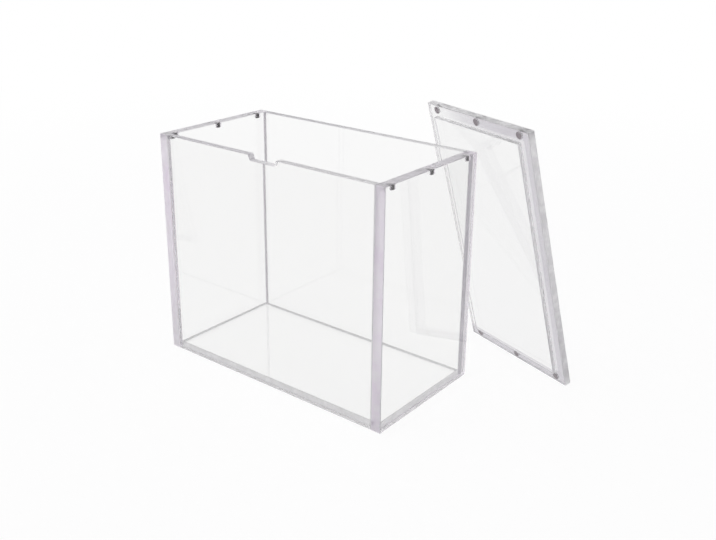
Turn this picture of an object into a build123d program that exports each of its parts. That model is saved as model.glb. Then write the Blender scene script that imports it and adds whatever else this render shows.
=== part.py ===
from build123d import *
import os
from math import cos, radians, sin, tan

# Clear acrylic case for a sealed booster box, open at the top, with its magnetic lid leaning on it.
# Millimetres. The origin is the centre of the case's underside, +X runs along the case to the right
# as seen from the front, +Y to the rear and +Z up.

# Case
case_length = 155.0
case_depth = 80.0
case_height = 130.0
end_panel_thickness = 6.0
long_panel_thickness = 4.0
floor_thickness = 4.0

# All sheets: the cement line left between two of them, and their lightly broken edges
cement_line = 0.05
edge_break = 0.3

# Thumb notch in the middle of the front panel's top edge
notch_width = 19.0
notch_depth = 2.9
notch_side_run = 1.2
notch_corner_radius = 0.8

# Lid: the outer plate covers the case, the inner plate drops between its walls
outer_plate_thickness = 4.0
inner_plate_thickness = 2.0
inner_plate_end_clearance = 0.4
inner_plate_side_clearance = 2.4
inner_plate_end_inset = end_panel_thickness + inner_plate_end_clearance
inner_plate_side_inset = long_panel_thickness + inner_plate_side_clearance

# Round magnets, three along each short side of the case and of the lid
magnet_diameter = 4.0
case_magnet_height = 3.0
lid_magnet_height = 2.0
magnet_hole_clearance = 0.05
magnet_recess = 0.1
magnet_inset = 7.5
end_sides = {"left": -1, "right": 1}
magnet_rows = {"front": -1, "middle": 0, "rear": 1}

# How the lid stands: on one short edge, turned a little and leaning on the case's rear right corner
lid_turn = 19.0
lid_lean = 16.0
lean_gap = 0.2


def sheet(length, depth, height, corner):
    """A rectangular sheet, from its lowest corner."""
    return Pos(*corner) * Box(length, depth, height, align=(Align.MIN, Align.MIN, Align.MIN))


def broken(part):
    """The sheet with all of its edges lightly broken, before any magnet hole is drilled."""
    return chamfer(part.edges(), edge_break)


def magnet_row_offset(row):
    """Distance of a magnet's axis from the middle of a short side, along that side."""
    return magnet_rows[row] * (case_depth / 2 - magnet_inset)


def magnet_hole(height):
    """The blind hole of a magnet, its mouth at the origin and its floor below it."""
    depth = height + magnet_recess
    return Pos(0, 0, -depth / 2) * Cylinder(magnet_diameter / 2 + magnet_hole_clearance, depth)


def magnet(height):
    """A round magnet seated on the floor of its hole, whose mouth is at the origin."""
    return Pos(0, 0, -magnet_recess - height / 2) * Cylinder(magnet_diameter / 2, height)


def notch():
    """The shallow trough of the thumb notch, cut down from the top edge."""
    half_top = notch_width / 2
    half_floor = half_top - notch_side_run
    above = case_height + edge_break
    outline = Polyline(
        (-half_top, above),
        (-half_top, case_height),
        (-half_floor, case_height - notch_depth),
        (half_floor, case_height - notch_depth),
        (half_top, case_height),
        (half_top, above),
        close=True,
    )
    profile = make_face(outline)
    floor_corners = profile.vertices().group_by(Axis.Y)[0]
    profile = fillet(floor_corners, notch_corner_radius)
    panel_middle = -case_depth / 2 + long_panel_thickness / 2
    middle_of_panel = Plane(origin=(0, panel_middle, 0), x_dir=(1, 0, 0), z_dir=(0, -1, 0))
    return extrude(middle_of_panel * profile, amount=long_panel_thickness, both=True)


def end_panel(side):
    """A short wall over the full depth, with the magnet holes in its top edge."""
    outer = end_sides[side] * case_length / 2
    inner = outer - end_sides[side] * end_panel_thickness
    corner = (min(outer, inner), -case_depth / 2, 0)
    panel = broken(sheet(end_panel_thickness, case_depth, case_height, corner))
    for row in magnet_rows:
        panel -= case_magnet_place(side, row) * magnet_hole(case_magnet_height)
    return panel


def long_panel(lowest_y):
    """A long wall, cemented between the two end panels."""
    half_length = case_length / 2 - end_panel_thickness - cement_line
    return sheet(2 * half_length, long_panel_thickness, case_height, (-half_length, lowest_y, 0))


def bottom_panel():
    """The floor of the case, cemented between its four walls."""
    half_length = case_length / 2 - end_panel_thickness - cement_line
    half_depth = case_depth / 2 - long_panel_thickness - cement_line
    corner = (-half_length, -half_depth, 0)
    return broken(sheet(2 * half_length, 2 * half_depth, floor_thickness, corner))


def case_magnet_place(side, row):
    """Mouth of a magnet's hole: the middle of an end panel's top edge."""
    along = end_sides[side] * (case_length / 2 - end_panel_thickness / 2)
    return Pos(along, magnet_row_offset(row), case_height)


def up_to_corner(corner_height, thickness):
    """Distance up the lid to the case's corner, which lies that thickness in front of its outer face.

    The outer plate's lower edge stands at the height of the case's underside.
    """
    lean = radians(lid_lean)
    standing_edge = outer_plate_thickness - edge_break
    return (corner_height + (thickness - standing_edge) * sin(lean)) / cos(lean)


def lid_frame():
    """The leaning lid's own axes: X across it, Y up it, Z out of its underside, which faces the case."""
    turn = radians(lid_turn)
    lean = radians(lid_lean)
    across = Vector(cos(turn), -sin(turn), 0)
    towards_case = Vector(-sin(turn), -cos(turn), 0)
    up_lid = towards_case * sin(lean) + Vector(0, 0, cos(lean))
    outward = across.cross(up_lid)
    corner = Vector(case_length / 2, case_depth / 2, case_height) - Vector(1, 1, 1) * (edge_break / 2)
    # The middle of the inner plate leans on that broken corner. On a taller case the inner plate's end
    # meets the case's upright edge instead, and the corner lies that much nearer to the outer plate.
    on_inner_plate = outer_plate_thickness + inner_plate_thickness + lean_gap
    inner_plate_end = case_length - inner_plate_end_inset
    past_its_end = max(0, up_to_corner(corner.Z, on_inner_plate) - inner_plate_end)
    thickness = on_inner_plate - min(inner_plate_thickness, past_its_end * tan(lean))
    up = up_lid * up_to_corner(corner.Z, thickness)
    origin = corner - across * (case_depth / 2) - up - outward * thickness
    return Plane(origin=origin, x_dir=across, z_dir=outward)


def lid_magnet_place(side, row):
    """Mouth of a magnet's hole in the lid's underside, over the case magnet of that name when shut."""
    along = case_length / 2 + end_sides[side] * (case_length / 2 - end_panel_thickness / 2)
    return Pos(case_depth / 2 + magnet_row_offset(row), along, outer_plate_thickness)


def outer_plate():
    """The lid's outer plate, as long and as deep as the case, with magnet holes in its underside."""
    plate = broken(sheet(case_depth, case_length, outer_plate_thickness, (0, 0, 0)))
    for side in end_sides:
        for row in magnet_rows:
            plate -= lid_magnet_place(side, row) * magnet_hole(lid_magnet_height)
    return plate


def inner_plate():
    """The plate cemented under the outer one, which drops between the walls of the case."""
    width = case_depth - 2 * inner_plate_side_inset
    length = case_length - 2 * inner_plate_end_inset
    thickness = inner_plate_thickness - cement_line
    corner = (inner_plate_side_inset, inner_plate_end_inset, outer_plate_thickness + cement_line)
    return broken(sheet(width, length, thickness, corner))


def case_parts():
    """Every piece of the case, by name."""
    parts = {
        "bottom_panel": bottom_panel(),
        "front_panel": broken(long_panel(-case_depth / 2) - notch()),
        "rear_panel": broken(long_panel(case_depth / 2 - long_panel_thickness)),
    }
    for side in end_sides:
        parts[side + "_end_panel"] = end_panel(side)
        for row in magnet_rows:
            place = case_magnet_place(side, row)
            parts["case_magnet_" + side + "_" + row] = place * magnet(case_magnet_height)
    return parts


def lid_parts():
    """Every piece of the lid, by name, where it leans on the case."""
    parts = {"lid_outer_plate": outer_plate(), "lid_inner_plate": inner_plate()}
    for side in end_sides:
        for row in magnet_rows:
            place = lid_magnet_place(side, row)
            parts["lid_magnet_" + side + "_" + row] = place * magnet(lid_magnet_height)
    frame = lid_frame()
    return {name: frame * part for name, part in parts.items()}


os.makedirs("parts", exist_ok=True)
for name, part in {**case_parts(), **lid_parts()}.items():
    export_step(part, "parts/" + name + ".step")
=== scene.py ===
"""Finishes, studio and camera for a clear acrylic booster box case with a magnetic lid.

Metres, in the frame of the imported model: +X along the case to the right, +Y to the rear, +Z up.
"""

import bpy
from mathutils import Euler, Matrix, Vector


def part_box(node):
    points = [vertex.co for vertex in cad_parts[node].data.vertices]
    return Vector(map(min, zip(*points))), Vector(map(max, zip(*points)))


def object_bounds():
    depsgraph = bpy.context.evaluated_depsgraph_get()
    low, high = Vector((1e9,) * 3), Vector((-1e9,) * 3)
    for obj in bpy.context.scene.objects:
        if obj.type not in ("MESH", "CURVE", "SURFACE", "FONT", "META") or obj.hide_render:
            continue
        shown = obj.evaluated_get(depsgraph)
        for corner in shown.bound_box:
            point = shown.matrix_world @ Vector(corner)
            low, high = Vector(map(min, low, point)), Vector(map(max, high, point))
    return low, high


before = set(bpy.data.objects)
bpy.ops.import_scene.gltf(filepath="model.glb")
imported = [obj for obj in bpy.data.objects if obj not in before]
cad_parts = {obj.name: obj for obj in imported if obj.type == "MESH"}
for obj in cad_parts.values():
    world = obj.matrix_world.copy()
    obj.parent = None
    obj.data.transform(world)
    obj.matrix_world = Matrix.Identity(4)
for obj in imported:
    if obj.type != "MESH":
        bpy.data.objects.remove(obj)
cad_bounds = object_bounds()

bl_info = {
    "name": "Booster Box Case",
    "version": (1, 0, 0),
    "blender": (4, 5, 0),
    "location": "3D View > Sidebar > Booster Box Case",
    "description": "Finishes and lights a clear acrylic booster box case and its magnetic lid",
    "category": "Object",
}

PHOTO_WIDTH_PX = 716

ALONG_CASE, TO_REAR, UPWARD = (1.0, 0.0, 0.0), (0.0, 1.0, 0.0), (0.0, 0.0, 1.0)

# Cosines between a surface's normal and a direction. Between the two, the mask of what faces that
# direction goes from 0 to 1
FACING = (0.85, 0.95)
EDGE_ON = (0.3, 0.5)
DISC_FACING = {"case": (0.2, 0.5), "lid": (0.85, 0.99)}

# Metres over which masks change: on a joint, behind the front panel, and at the lid's rim
JOINT_MARGIN = 0.0001
FRONT_MARGIN = 0.0005
RIM_MARGIN = 0.0003

# Metres below the front panel's top edge, between which its thumb notch's floor begins
NOTCH_BAND = (0.0025, 0.001)

# Limits of noise, or of a distance, between which a patch or a fade goes from 0 to 1
MOTTLE_LIMITS = (0.4, 0.65)
STRETCH_LIMITS = (0.45, 0.65)
SPOT_LIMITS = (0.5, 0.75)
# Share of the lid's width over which the painted shade on its rim grows, from its left side
RIM_SHADE_LIMITS = (-0.1, 0.7)
FLOOR_FADE = (0.25, 0.9)
OVERHEAD_LIMITS = (0.35, 0.95)

# Metres from lump to lump of the fixed patterns
CLOUD_SIZE = 0.0025
STRETCH_SIZE = 0.025
GRAIN_SIZE = 1 / 9000
SPOT_SIZE = 1 / 1500
FIBRE_SIZE = 1 / 350

# Detail and roughness of noise
COARSE, FIBROUS = (1.0, 0.5), (4.0, 0.5)
FINE, SHARP, FINEST = (3.0, 0.6), (3.0, 0.7), (4.0, 0.65)

# Each pattern's span around the value that it varies
SAWN_SPAN = (0.8, 1.2)
SMOOTH_SPAN = (0.5, 1.5)
CEMENT_SPAN = (0.7, 1.3)
GRAIN_ROUGHNESS = 0.2
GRAIN_STRENGTH, GRAIN_DEPTH = 0.25, 0.00002
FIBRE_SHADE = 0.985
PAPER_ROUGHNESS = 0.5

NEAREST_SEEN = 0.01
SHEET_BOUNCES, DIFFUSE_BOUNCES, CLEAR_BOUNCES = 64, 4, 48

CASE_SHEETS = {
    "end_sheets": (ALONG_CASE, ["left_end_panel", "right_end_panel"]),
    "long_sheets": (TO_REAR, ["front_panel", "rear_panel"]),
    "floor_sheet": (UPWARD, ["bottom_panel"]),
}
LID_PLATES = ["lid_outer_plate", "lid_inner_plate"]
MAGNET_ENDS = ("left", "right")
MAGNET_ROWS = ("front", "middle", "rear")


def magnet_names(owner):
    """Names of the six magnets of the case or of the lid."""
    return [f"{owner}_magnet_{end}_{row}" for end in MAGNET_ENDS for row in MAGNET_ROWS]


class Signal:
    """One output socket of a node tree.

    Python's operators on it add the Math nodes that they stand for.
    """

    def __init__(self, graph, socket):
        self.graph = graph
        self.socket = socket

    def maths(self, operation, *values):
        sockets = dict(enumerate(values))
        return self.graph.node("ShaderNodeMath", {"operation": operation}, sockets)

    def __add__(self, other):
        return self.maths("ADD", self, other)

    def __radd__(self, other):
        return self.maths("ADD", other, self)

    def __sub__(self, other):
        return self.maths("SUBTRACT", self, other)

    def __rsub__(self, other):
        return self.maths("SUBTRACT", other, self)

    def __mul__(self, other):
        return self.maths("MULTIPLY", self, other)

    def __rmul__(self, other):
        return self.maths("MULTIPLY", other, self)

    def __abs__(self):
        return self.maths("ABSOLUTE", self)

    def most(self, other):
        return self.maths("MAXIMUM", self, other)

    def least(self, other):
        return self.maths("MINIMUM", self, other)


class Graph:
    """The nodes of one material or world."""

    def __init__(self, owner):
        owner.use_nodes = True
        self.tree = owner.node_tree
        self.tree.nodes.clear()

    def node(self, kind, settings=None, sockets=None, output=0):
        """Adds a node, sets it up, feeds its sockets and returns one output as a Signal."""
        made = self.tree.nodes.new(kind)
        for name, value in (settings or {}).items():
            setattr(made, name, value)
        for name, value in (sockets or {}).items():
            socket = self.find(made.inputs, name)
            if isinstance(value, Signal):
                self.tree.links.new(value.socket, socket)
            else:
                socket.default_value = value
        return Signal(self, self.find(made.outputs, output)) if made.outputs else None

    @staticmethod
    def find(sockets, name):
        """The socket at an index, or the first one of that name that is in use."""
        if isinstance(name, int):
            return sockets[name]
        return next(s for s in sockets if s.enabled and s.name == name)

    def noise(self, place, size, detail=2.0, roughness=0.5):
        """Soft irregular variation from 0 to 1, about size metres from lump to lump."""
        sockets = {"Vector": place, "Scale": 1 / size, "Detail": detail, "Roughness": roughness}
        return self.node("ShaderNodeTexNoise", None, sockets, "Fac")

    @staticmethod
    def span(value, low, high):
        """A number that goes from low to high as value goes from 0 to 1."""
        return low + (high - low) * value

    def ease(self, value, low, high):
        """0 below low, 1 above high and a smooth change between them."""
        sockets = {"Value": value, "From Min": low, "From Max": high}
        return self.node("ShaderNodeMapRange", {"interpolation_type": "SMOOTHSTEP"}, sockets)

    def blend(self, share, first, second):
        """A colour that goes from first to second as share goes from 0 to 1."""
        sockets = {"Factor": share, "A": first, "B": second}
        return self.node("ShaderNodeMix", {"data_type": "RGBA"}, sockets, "Result")

    def parts(self, vector):
        """The three numbers of a vector."""
        first = self.node("ShaderNodeSeparateXYZ", None, {"Vector": vector})
        return [Signal(self, socket) for socket in first.socket.node.outputs]

    def vector(self, operation, *values, output=0):
        """A Vector Math node."""
        settings = {"operation": operation}
        return self.node("ShaderNodeVectorMath", settings, dict(enumerate(values)), output)

    def along(self, vector, direction):
        """How far a vector reaches along a direction."""
        return self.vector("DOT_PRODUCT", vector, tuple(direction), output="Value")

    def toward(self, normal, direction):
        """1 where the surface faces along a direction, either way, and 0 where it doesn't."""
        return self.ease(abs(self.along(normal, direction)), *FACING)


def colour4(colour):
    """A colour with its alpha, as a colour socket takes it."""
    return (*colour, 1.0)


def new_material(name):
    """An empty material and its graph."""
    material = bpy.data.materials.new(name)
    return material, Graph(material)


def dress(nodes, material):
    """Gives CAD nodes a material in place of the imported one."""
    for name in nodes:
        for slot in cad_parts[name].material_slots:
            slot.material = material


class AcrylicFinish(bpy.types.PropertyGroup):
    """Clear sheet, polished on its faces and saw-cut and polished on its edges."""

    tint: bpy.props.FloatVectorProperty(
        name="Tint",
        description="Colour that light keeps on a long way through the sheet",
        subtype="COLOR",
        size=3,
        min=0.0,
        max=1.0,
        default=(0.80, 0.79, 0.80),
    )
    tint_density: bpy.props.FloatProperty(
        name="Tint density",
        description="How quickly the tint builds up, for each metre of sheet",
        default=2.5,
        min=0.0,
    )
    refraction: bpy.props.FloatProperty(
        name="Refractive index", description="Refractive index of the sheet", default=1.49, min=1.0
    )
    face_colour: bpy.props.FloatVectorProperty(
        name="Face colour",
        description="Colour of the light that passes the broad polished faces",
        subtype="COLOR",
        size=3,
        min=0.0,
        max=1.0,
        default=(0.963, 0.963, 0.961),
    )
    cut_colour: bpy.props.FloatVectorProperty(
        name="Cut edge colour",
        description="Colour of the light that passes the cut edges, which scatter a little of it",
        subtype="COLOR",
        size=3,
        min=0.0,
        max=1.0,
        default=(0.87, 0.87, 0.87),
    )
    upright_edge_colour: bpy.props.FloatVectorProperty(
        name="Upright edge colour",
        description="Colour of the light that passes the upright edges of the end sheets",
        subtype="COLOR",
        size=3,
        min=0.0,
        max=1.0,
        default=(0.95, 0.90, 0.97),
    )
    deep_edge_colour: bpy.props.FloatVectorProperty(
        name="Deep edge colour",
        description="Colour of the light that passes the more tinted stretches of those edges",
        subtype="COLOR",
        size=3,
        min=0.0,
        max=1.0,
        default=(0.90, 0.80, 0.93),
    )
    # Painted shade: the cut edges that face up get a darker colour than the other cut edges
    top_edge_shade: bpy.props.FloatVectorProperty(
        name="Top edge colour",
        description="Colour of the light that passes the top edges of the end sheets and the lid",
        subtype="COLOR",
        size=3,
        min=0.0,
        max=1.0,
        default=(0.68, 0.68, 0.68),
    )
    lid_face_colour: bpy.props.FloatVectorProperty(
        name="Lid face colour",
        description="Colour of the light that passes the broad faces of the lid",
        subtype="COLOR",
        size=3,
        min=0.0,
        max=1.0,
        default=(0.93, 0.93, 0.93),
    )
    lid_edge_colour: bpy.props.FloatVectorProperty(
        name="Lid edge colour",
        description="Colour of the light that passes the edges of the lid's plates",
        subtype="COLOR",
        size=3,
        min=0.0,
        max=1.0,
        default=(0.74, 0.73, 0.75),
    )
    face_roughness: bpy.props.FloatProperty(
        name="Face roughness",
        description="Roughness of the polished faces",
        default=0.004,
        min=0.0,
        max=1.0,
    )
    cut_roughness: bpy.props.FloatProperty(
        name="Cut edge roughness",
        description="Roughness of the cut edges",
        default=0.7,
        min=0.0,
        max=1.0,
    )
    bevel_colour: bpy.props.FloatVectorProperty(
        name="Bevel colour",
        description="Colour of the light that passes the narrow scraped bevels beside the faces",
        subtype="COLOR",
        size=3,
        min=0.0,
        max=1.0,
        default=(0.62, 0.61, 0.63),
    )
    bevel_roughness: bpy.props.FloatProperty(
        name="Bevel roughness",
        description="Roughness of the bevels",
        default=0.5,
        min=0.0,
        max=1.0,
    )
    cement_colour: bpy.props.FloatVectorProperty(
        name="Cement colour",
        description="Colour of the light that passes each side of a cemented joint",
        subtype="COLOR",
        size=3,
        min=0.0,
        max=1.0,
        default=(0.96, 0.96, 0.96),
    )
    lid_cement_colour: bpy.props.FloatVectorProperty(
        name="Lid cement colour",
        description="Colour of the light that passes each side of the lid's cemented joint",
        subtype="COLOR",
        size=3,
        min=0.0,
        max=1.0,
        default=(0.995, 0.995, 0.995),
    )
    floor_haze: bpy.props.FloatVectorProperty(
        name="Floor joint haze",
        description="Colour that the sawn surfaces around the floor sheet scatter in their joints",
        subtype="COLOR",
        size=3,
        min=0.0,
        max=1.0,
        default=(0.94, 0.94, 0.94),
    )
    upright_haze: bpy.props.FloatVectorProperty(
        name="Upright joint haze",
        description="Colour that the sawn ends of the long sheets scatter in their joints",
        subtype="COLOR",
        size=3,
        min=0.0,
        max=1.0,
        default=(0.60, 0.585, 0.62),
    )
    floor_haze_share: bpy.props.FloatProperty(
        name="Floor haze share",
        description="Share of the light that each side of the joints around the floor scatters",
        default=0.62,
        min=0.0,
        max=1.0,
    )
    haze_share: bpy.props.FloatProperty(
        name="Haze share",
        description="Share of the light that each side of the upright joints at the rear scatters",
        default=0.5,
        min=0.0,
        max=1.0,
    )
    front_haze_share: bpy.props.FloatProperty(
        name="Front haze share",
        description="Haze share of the upright joints at the front, at their top",
        default=0.42,
        min=0.0,
        max=1.0,
    )
    low_haze_share: bpy.props.FloatProperty(
        name="Low haze share",
        description="Haze share of the upright joints at the front, at their foot",
        default=0.12,
        min=0.0,
        max=1.0,
    )
    # Painted shade: the rim's darkness is painted into its colour, not a tint of the sheet
    painted_rim_shade: bpy.props.FloatVectorProperty(
        name="Rim colour",
        description="Colour of the light that passes the lid's rim, outside its inner plate",
        subtype="COLOR",
        size=3,
        min=0.0,
        max=1.0,
        default=(0.64, 0.62, 0.66),
    )
    rim_roughness: bpy.props.FloatProperty(
        name="Rim roughness",
        description="Roughness of the lid's rim",
        default=0.12,
        min=0.0,
        max=1.0,
    )
    mottle_colour: bpy.props.FloatVectorProperty(
        name="Mottle colour",
        description="Colour of the light that passes the smoother patches of the cut edges",
        subtype="COLOR",
        size=3,
        min=0.0,
        max=1.0,
        default=(1.0, 1.0, 1.0),
    )
    mottle: bpy.props.FloatProperty(
        name="Mottle",
        description="How much the smoother patches show",
        default=0.45,
        min=0.0,
        max=1.0,
    )
    lid_mottle: bpy.props.FloatProperty(
        name="Lid mottle",
        description="How much they show on the lid",
        default=0.85,
        min=0.0,
        max=1.0,
    )
    mottle_size: bpy.props.FloatProperty(
        name="Mottle size",
        description="Usual distance between the smoother patches of the cut edges",
        default=0.005,
        min=0.0005,
        unit="LENGTH",
    )
    notch_roughness: bpy.props.FloatProperty(
        name="Notch roughness",
        description="Roughness of the thumb notch's floor",
        default=0.3,
        min=0.0,
        max=1.0,
    )
    saw_mark_pitch: bpy.props.FloatProperty(
        name="Saw mark pitch",
        description="Usual distance between the faint marks across a cut edge",
        default=0.0016,
        min=0.0001,
        unit="LENGTH",
    )
    saw_mark_depth: bpy.props.FloatProperty(
        name="Saw mark depth",
        description="Depth of the faint marks across a cut edge",
        default=0.000006,
        min=0.0,
        unit="LENGTH",
    )
    wave_length: bpy.props.FloatProperty(
        name="Wave length",
        description="Usual distance between the slight waves in a cast sheet",
        default=0.045,
        min=0.001,
        unit="LENGTH",
    )
    wave_height: bpy.props.FloatProperty(
        name="Wave height",
        description="Height of the slight waves in a cast sheet",
        default=0.00004,
        min=0.0,
        unit="LENGTH",
    )


class MagnetFinish(bpy.types.PropertyGroup):
    """Plated disc magnets."""

    # Painted shade: the lid magnets' plating is the same nickel as the case magnets', darkened in
    # its colour
    plating: bpy.props.FloatVectorProperty(
        name="Plating",
        description="Colour of the dark nickel plating",
        subtype="COLOR",
        size=3,
        min=0.0,
        max=1.0,
        default=(0.30, 0.27, 0.29),
    )
    worn_plating: bpy.props.FloatVectorProperty(
        name="Worn plating",
        description="Colour of the plating in its worn spots",
        subtype="COLOR",
        size=3,
        min=0.0,
        max=1.0,
        default=(0.44, 0.41, 0.43),
    )
    # Painted shade: the magnets' sides are painted nearly black for the shade down in their holes
    painted_side_shade: bpy.props.FloatVectorProperty(
        name="Side colour",
        description="Colour of the magnets' sides, down in their holes",
        subtype="COLOR",
        size=3,
        min=0.0,
        max=1.0,
        default=(0.05, 0.045, 0.05),
    )
    # Plain nickel colour of the case magnets; the lid magnets' darker plating is painted shade
    bright_plating: bpy.props.FloatVectorProperty(
        name="Bright plating",
        description="Colour of the case magnets' faces, which are polished bright",
        subtype="COLOR",
        size=3,
        min=0.0,
        max=1.0,
        default=(0.62, 0.60, 0.62),
    )
    roughness: bpy.props.FloatProperty(
        name="Roughness",
        description="Least roughness of the plating",
        default=0.22,
        min=0.0,
        max=1.0,
    )


class StudioSettings(bpy.types.PropertyGroup):
    """Floor, light and camera."""

    backdrop: bpy.props.FloatVectorProperty(
        name="Backdrop",
        description="Colour of the seamless white background",
        subtype="COLOR",
        size=3,
        min=0.0,
        max=1.0,
        default=(1.0, 1.0, 1.0),
    )
    paper: bpy.props.FloatVectorProperty(
        name="Paper",
        description="Colour of the pale floor",
        subtype="COLOR",
        size=3,
        min=0.0,
        max=1.0,
        default=(0.90, 0.90, 0.90),
    )
    overhead: bpy.props.FloatVectorProperty(
        name="Overhead",
        description="Colour of the dim part of the studio above the backdrop",
        subtype="COLOR",
        size=3,
        min=0.0,
        max=1.0,
        default=(0.62, 0.61, 0.64),
    )
    floor_width: bpy.props.FloatProperty(
        name="Floor width",
        description="Width of the square floor",
        default=6.0,
        min=0.5,
        unit="LENGTH",
    )
    floor_gap: bpy.props.FloatProperty(
        name="Floor gap",
        description="Air left between the floor and the case's underside",
        default=0.0001,
        min=0.0,
        unit="LENGTH",
    )
    floor_glow: bpy.props.FloatProperty(
        name="Floor glow",
        description="Share of the floor's look that is plain white, so that shadows stay faint",
        default=0.9,
        min=0.0,
        max=1.0,
    )
    softbox_power: bpy.props.FloatProperty(
        name="Softbox power",
        description="Power of the soft light above",
        default=6.0,
        min=0.0,
        unit="POWER",
    )
    softbox_width: bpy.props.FloatProperty(
        name="Softbox width",
        description="Width of the soft light above",
        default=1.2,
        min=0.01,
        unit="LENGTH",
    )
    softbox_place: bpy.props.FloatVectorProperty(
        name="Softbox place",
        description="Middle of the soft light",
        subtype="TRANSLATION",
        size=3,
        default=(-0.5, -0.6, 1.5),
    )
    camera_place: bpy.props.FloatVectorProperty(
        name="Camera place",
        description="Where the camera stands",
        subtype="TRANSLATION",
        size=3,
        default=(0.31386, -0.36255, 0.25355),
    )
    camera_turn: bpy.props.FloatVectorProperty(
        name="Camera turn",
        description="How the camera is turned",
        subtype="EULER",
        size=3,
        default=(1.21320, -0.01090, 0.66702),
    )
    focal_length: bpy.props.FloatProperty(
        name="Focal length in px",
        description="Focal length of the camera, in pixels of the photograph",
        default=919.88,
        min=1.0,
    )
    horizon_shift: bpy.props.FloatProperty(
        name="Horizon shift in px",
        description="How far the frame lies above the camera's axis, in pixels of the photograph",
        default=-30.0,
    )


GROUPS = (AcrylicFinish, MagnetFinish, StudioSettings)


def near(graph, value, level):
    """1 where a length is within a tenth of a millimetre of a level, and 0 from twice as far."""
    return 1 - graph.ease(abs(value - level), JOINT_MARGIN, 2 * JOINT_MARGIN)


def case_joints(graph, place, normal):
    """Masks of the case's cemented surfaces: those around the floor, and the upright ones."""
    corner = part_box("bottom_panel")[1]
    x, y, z = (abs(part) for part in graph.parts(place))
    beside_floor = 1 - graph.ease(z, corner[2], corner[2] + JOINT_MARGIN)
    beside_wall = graph.ease(y, corner[1], corner[1] + JOINT_MARGIN)
    on_end = near(graph, x, corner[0]) * graph.toward(normal, ALONG_CASE)
    on_long = near(graph, y, corner[1]) * graph.toward(normal, TO_REAR)
    upright = on_end * beside_wall
    return (on_end * (1 - beside_wall) + on_long) * beside_floor, upright


def cement_haze(graph, place, look):
    """Shares of the light that the case's joints scatter, around the floor and upright.

    Both are uneven, and the upright ones at the front scatter less and less towards their foot.
    """
    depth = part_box("bottom_panel")[1][1]
    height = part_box("front_panel")[1][2]
    y, z = graph.parts(place)[1:]
    front = 1 - graph.ease(y, -depth, FRONT_MARGIN - depth)
    front_share = graph.span(z * (1 / height), look.low_haze_share, look.front_haze_share)
    upright_share = graph.span(front, look.haze_share, front_share)
    uneven = graph.span(graph.noise(place, look.mottle_size, *FINE), *CEMENT_SPAN)
    return look.floor_haze_share * uneven, upright_share * uneven


def cemented(graph, surface, joint, clear, haze=None, share=0.0):
    """A surface with the cement of a joint in its place where the mask is 1."""
    cement = graph.node("ShaderNodeBsdfTransparent", None, {"Color": colour4(clear)})
    if haze:
        scattered = graph.node("ShaderNodeBsdfDiffuse", None, {"Color": colour4(haze)})
        cement = graph.node("ShaderNodeMixShader", None, {0: share, 1: cement, 2: scattered})
    return graph.node("ShaderNodeMixShader", None, {0: joint, 1: surface, 2: cement})


def lid_places(graph, place):
    """Masks of the lid's rim with its painted shade, and of the surfaces that its two plates are
    cemented by.

    The rim lies outside the inner plate. Its painted shade grows across the lid and is full along
    its foot.
    """
    outward, across, up = lid_directions()
    corners = [vertex.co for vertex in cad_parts["lid_inner_plate"].data.vertices]
    reaches = [[axis.dot(corner) for corner in corners] for axis in (across, up, outward)]
    (left, right), (foot, top) = ((min(reach), max(reach)) for reach in reaches[:2])
    from_left = graph.along(place, across) - left
    from_foot = graph.along(place, up) - foot
    from_sides = from_left.least(right - left - from_left)
    inside = from_sides.least(from_foot.least(top - foot - from_foot))
    rim = 1 - graph.ease(inside, -RIM_MARGIN, 0.0)
    # Painted shade: it grows from the lid's left side to its right, and is full along its foot
    share = graph.ease(from_left * (1 / (right - left)), *RIM_SHADE_LIMITS)
    below = 1 - graph.ease(from_foot, -RIM_MARGIN, 0.0)
    joint = (1 - rim) * near(graph, graph.along(place, outward), min(reaches[2]))
    return rim * share.most(below), joint


def cut_edges(graph, place, normal, look, through, lid, saw_marks):
    """Colour and roughness of the cut edges, with their smoother patches, the thumb notch and
    painted shade on the edges that face up.
    """
    upwards = graph.ease(graph.parts(normal)[2], *FACING)
    mottle = graph.noise(place, look.mottle_size, *FINE)
    patches = graph.ease(mottle, *MOTTLE_LIMITS) * (look.lid_mottle if lid else look.mottle)
    colour = colour4(look.cut_colour)
    roughness = look.cut_roughness * graph.span(saw_marks, *SAWN_SPAN)
    if lid:
        # Painted shade on the lid's edges that face up
        colour = graph.blend(upwards, colour4(look.lid_edge_colour), colour4(look.top_edge_shade))
    elif through == ALONG_CASE:
        stretches = graph.ease(graph.noise(place, STRETCH_SIZE), *STRETCH_LIMITS)
        pale, deep = colour4(look.upright_edge_colour), colour4(look.deep_edge_colour)
        colour = graph.blend(stretches, pale, deep)
        # Painted shade on the end sheets' edges that face up
        colour = graph.blend(upwards, colour, colour4(look.top_edge_shade))
    elif through == TO_REAR:
        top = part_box("front_panel")[1][2]
        below_top = 1 - graph.ease(graph.parts(place)[2], *(top - band for band in NOTCH_BAND))
        notch = upwards * below_top
        patches = patches.most(notch)
        roughness = graph.span(notch, roughness, look.notch_roughness)
    return graph.blend(patches, colour, colour4(look.mottle_colour)), roughness


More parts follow.
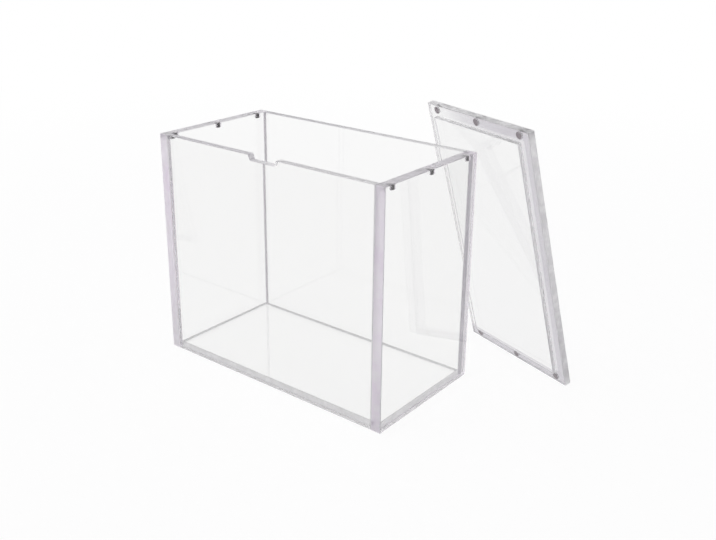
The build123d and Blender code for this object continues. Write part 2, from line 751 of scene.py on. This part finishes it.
def acrylic(name, look, through, lid=False):
    """Clear acrylic for sheets of the case or the lid, whose thickness lies along a direction."""
    material, graph = new_material(name)
    place = graph.node("ShaderNodeTexCoord", output="Object")
    normal = graph.node("ShaderNodeTexCoord", output="Normal")
    facing = abs(graph.along(normal, through))
    face = graph.ease(facing, *FACING)
    cut = 1 - graph.ease(facing, *EDGE_ON)
    bevel = 1 - face - cut

    depth = graph.along(place, through)
    offsets = {axis: depth * through[axis] for axis in range(3)}
    in_sheet = graph.vector("SUBTRACT", place, graph.node("ShaderNodeCombineXYZ", None, offsets))
    saw_marks = graph.noise(in_sheet, look.saw_mark_pitch, *FINE)
    waves = graph.noise(place, look.wave_length, *COARSE)
    clouds = graph.noise(place, CLOUD_SIZE, *FINEST)

    edge_colour, sawn = cut_edges(graph, place, normal, look, through, lid, saw_marks)
    face_colour = colour4(look.lid_face_colour if lid else look.face_colour)
    tint = graph.blend(cut, face_colour, edge_colour)
    tint = graph.blend(bevel, tint, colour4(look.bevel_colour))
    smooth = look.face_roughness * graph.span(clouds, *SMOOTH_SPAN)
    roughness = smooth + sawn * cut + look.bevel_roughness * bevel
    if lid:
        rim, lid_joint = lid_places(graph, place)
        # Painted shade darkens the colour of the rim
        tint = graph.blend(rim * face, tint, colour4(look.painted_rim_shade))
        roughness = roughness + rim * face * look.rim_roughness
    height = waves * face * look.wave_height + saw_marks * cut * look.saw_mark_depth
    bump = graph.node("ShaderNodeBump", None, {"Strength": 1.0, "Distance": 1.0, "Height": height})

    surface = graph.node(
        "ShaderNodeBsdfPrincipled",
        None,
        {
            "Base Color": tint,
            "Roughness": roughness,
            "IOR": look.refraction,
            "Transmission Weight": 1.0,
            "Normal": bump,
        },
    )
    if lid:
        surface = cemented(graph, surface, lid_joint * face, look.lid_cement_colour)
    else:
        joints = case_joints(graph, place, normal)
        shares = cement_haze(graph, place, look)
        for joint, haze, share in zip(joints, (look.floor_haze, look.upright_haze), shares):
            surface = cemented(graph, surface, joint, look.cement_colour, haze, share)
    inside = {"Color": colour4(look.tint), "Density": look.tint_density}
    volume = graph.node("ShaderNodeVolumeAbsorption", None, inside)
    graph.node("ShaderNodeOutputMaterial", None, {"Surface": surface, "Volume": volume})
    return material


def nickel(name, look, axis, plating, facing):
    """Nickel plating with fine grain and worn spots, and painted shade that makes the sides nearly
    black, down in the holes.
    """
    material, graph = new_material(name)
    place = graph.node("ShaderNodeTexCoord", output="Object")
    normal = graph.node("ShaderNodeTexCoord", output="Normal")
    grain = graph.noise(place, GRAIN_SIZE, *SHARP)
    spots = graph.ease(graph.noise(place, SPOT_SIZE), *SPOT_LIMITS)
    plated = graph.blend(spots, colour4(plating), colour4(look.worn_plating))
    disc = graph.ease(abs(graph.along(normal, axis)), *facing)
    # Painted shade on the sides, where the disc mask is 0
    colour = graph.blend(disc, colour4(look.painted_side_shade), plated)
    relief = {"Strength": GRAIN_STRENGTH, "Distance": GRAIN_DEPTH, "Height": grain}
    bump = graph.node("ShaderNodeBump", None, relief)
    surface = graph.node(
        "ShaderNodeBsdfPrincipled",
        None,
        {
            "Base Color": colour,
            "Metallic": 1.0,
            "Roughness": look.roughness + GRAIN_ROUGHNESS * grain,
            "Normal": bump,
        },
    )
    graph.node("ShaderNodeOutputMaterial", None, {"Surface": surface})
    return material


def lid_directions():
    """The leaning lid's own directions: out of its underside, level across it, and up it."""
    outer, inner = (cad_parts[name].data for name in LID_PLATES)
    outward = max(outer.polygons, key=lambda polygon: polygon.area).normal.normalized()
    if outward.dot(inner.vertices[0].co - outer.vertices[0].co) < 0:
        outward = -outward
    across = Vector(UPWARD).cross(outward).normalized()
    return outward, across, outward.cross(across)


class CASE_OT_sheets(bpy.types.Operator):
    """Give the case's five sheets their clear acrylic"""

    bl_idname = "booster_case.sheets"
    bl_label = "Case sheets"

    def execute(self, context):
        look = context.scene.booster_case_acrylic
        for name, (through, nodes) in CASE_SHEETS.items():
            dress(nodes, acrylic(name, look, through))
        return {"FINISHED"}


class CASE_OT_lid_plates(bpy.types.Operator):
    """Give the lid's two plates their clear acrylic"""

    bl_idname = "booster_case.lid_plates"
    bl_label = "Lid plates"

    def execute(self, context):
        look = context.scene.booster_case_acrylic
        dress(LID_PLATES, acrylic("lid_sheets", look, lid_directions()[0], lid=True))
        return {"FINISHED"}


class CASE_OT_magnets(bpy.types.Operator):
    """Plate the magnets of the case and of the lid"""

    bl_idname = "booster_case.magnets"
    bl_label = "Magnets"

    def execute(self, context):
        look = context.scene.booster_case_magnets
        # The lid magnets get the darker plating, which is painted shade
        kinds = (("case", UPWARD, look.bright_plating), ("lid", lid_directions()[0], look.plating))
        for owner, axis, plating in kinds:
            material = nickel(owner + "_magnet_nickel", look, axis, plating, DISC_FACING[owner])
            dress(magnet_names(owner), material)
        return {"FINISHED"}


def seen_rays(graph):
    """1 for rays that show the background: the camera's own, and those off metal and acrylic."""
    kinds = ("Is Camera Ray", "Is Glossy Ray", "Is Transmission Ray")
    camera, glossy, sent_on = (graph.node("ShaderNodeLightPath", output=kind) for kind in kinds)
    return camera.most(glossy.most(sent_on))


def light_studio(scene, look):
    """A white world that dims overhead, and one soft light."""
    world = bpy.data.worlds.new("studio")
    scene.world = world
    graph = Graph(world)
    direction = graph.node("ShaderNodeTexCoord", output="Generated")
    elevation = graph.node("ShaderNodeSeparateXYZ", None, {"Vector": direction}, "Z")
    dim = graph.ease(elevation, *OVERHEAD_LIMITS)
    colour = graph.blend(dim, colour4(look.backdrop), colour4(look.overhead))
    background = graph.node("ShaderNodeBackground", None, {"Color": colour, "Strength": 1.0})
    graph.node("ShaderNodeOutputWorld", None, {"Surface": background})

    light = bpy.data.lights.new("softbox", "AREA")
    light.energy = look.softbox_power
    light.size = look.softbox_width
    softbox = bpy.data.objects.new("softbox", light)
    softbox.location = look.softbox_place
    softbox.rotation_euler = (-Vector(look.softbox_place)).to_track_quat("-Z", "Y").to_euler()
    scene.collection.objects.link(softbox)


def lay_floor(scene, look):
    """A plain pale floor whose far parts are as white as the backdrop."""
    half = look.floor_width / 2
    level = cad_bounds[0][2] - look.floor_gap
    mesh = bpy.data.meshes.new("floor")
    square = ((-1, -1), (1, -1), (1, 1), (-1, 1))
    corners = [(x * half, y * half, level) for x, y in square]
    mesh.from_pydata(corners, [], [(0, 1, 2, 3)])
    floor = bpy.data.objects.new("floor", mesh)
    scene.collection.objects.link(floor)

    material, graph = new_material("floor_paper")
    place = graph.node("ShaderNodeTexCoord", output="Object")
    fibres = graph.noise(place, FIBRE_SIZE, *FIBROUS)
    shaded = [FIBRE_SHADE * value for value in look.paper]
    paper = graph.blend(fibres, colour4(look.paper), colour4(shaded))
    sheet = {"Color": paper, "Roughness": PAPER_ROUGHNESS}
    matt = graph.node("ShaderNodeBsdfDiffuse", None, sheet)
    backdrop = {"Color": colour4(look.backdrop), "Strength": 1.0}
    white = graph.node("ShaderNodeEmission", None, backdrop)
    distance = graph.vector("LENGTH", place, output="Value")
    far = graph.ease(distance, *FLOOR_FADE)
    glow = seen_rays(graph) * graph.span(far, look.floor_glow, 1.0)
    surface = graph.node("ShaderNodeMixShader", None, {0: glow, 1: matt, 2: white})
    graph.node("ShaderNodeOutputMaterial", None, {"Surface": surface})
    mesh.materials.append(material)


def place_camera(scene, look):
    """The camera of the photograph."""
    camera = bpy.data.cameras.new("camera")
    camera.lens = look.focal_length / PHOTO_WIDTH_PX * camera.sensor_width
    camera.shift_y = look.horizon_shift / PHOTO_WIDTH_PX
    camera.clip_start = NEAREST_SEEN
    placed = bpy.data.objects.new("camera", camera)
    placed.location = look.camera_place
    placed.rotation_euler = Euler(look.camera_turn)
    scene.collection.objects.link(placed)
    scene.camera = placed


def set_light_paths(scene):
    """Lets light through many sheets, and through the edges that it crosses lengthwise."""
    scene.cycles.max_bounces = SHEET_BOUNCES
    scene.cycles.transmission_bounces = SHEET_BOUNCES
    scene.cycles.glossy_bounces = SHEET_BOUNCES
    scene.cycles.diffuse_bounces = DIFFUSE_BOUNCES
    scene.cycles.transparent_max_bounces = CLEAR_BOUNCES
    scene.cycles.blur_glossy = 0.0
    scene.cycles.use_denoising = True
    scene.view_settings.view_transform = "Standard"


class CASE_OT_stage(bpy.types.Operator):
    """Set up the floor, the light and the camera"""

    bl_idname = "booster_case.stage"
    bl_label = "Studio and camera"

    def execute(self, context):
        scene = context.scene
        look = scene.booster_case_studio
        lay_floor(scene, look)
        light_studio(scene, look)
        place_camera(scene, look)
        set_light_paths(scene)
        return {"FINISHED"}


OPERATORS = (CASE_OT_sheets, CASE_OT_lid_plates, CASE_OT_magnets, CASE_OT_stage)


class CASE_PT_panel(bpy.types.Panel):
    """The steps that finish and light the case"""

    bl_idname = "CASE_PT_panel"
    bl_label = "Booster Box Case"
    bl_space_type = "VIEW_3D"
    bl_region_type = "UI"
    bl_category = "Booster Box Case"

    def draw(self, context):
        for operator in OPERATORS:
            self.layout.operator(operator.bl_idname)


def register():
    for cls in (*GROUPS, *OPERATORS, CASE_PT_panel):
        bpy.utils.register_class(cls)
    bpy.types.Scene.booster_case_acrylic = bpy.props.PointerProperty(type=AcrylicFinish)
    bpy.types.Scene.booster_case_magnets = bpy.props.PointerProperty(type=MagnetFinish)
    bpy.types.Scene.booster_case_studio = bpy.props.PointerProperty(type=StudioSettings)


def unregister():
    del bpy.types.Scene.booster_case_studio
    del bpy.types.Scene.booster_case_magnets
    del bpy.types.Scene.booster_case_acrylic
    for cls in reversed((*GROUPS, *OPERATORS, CASE_PT_panel)):
        bpy.utils.unregister_class(cls)


def main():
    """Run every step in order."""
    register()
    bpy.ops.booster_case.sheets()
    bpy.ops.booster_case.lid_plates()
    bpy.ops.booster_case.magnets()
    bpy.ops.booster_case.stage()


if __name__ == "__main__":
    main()
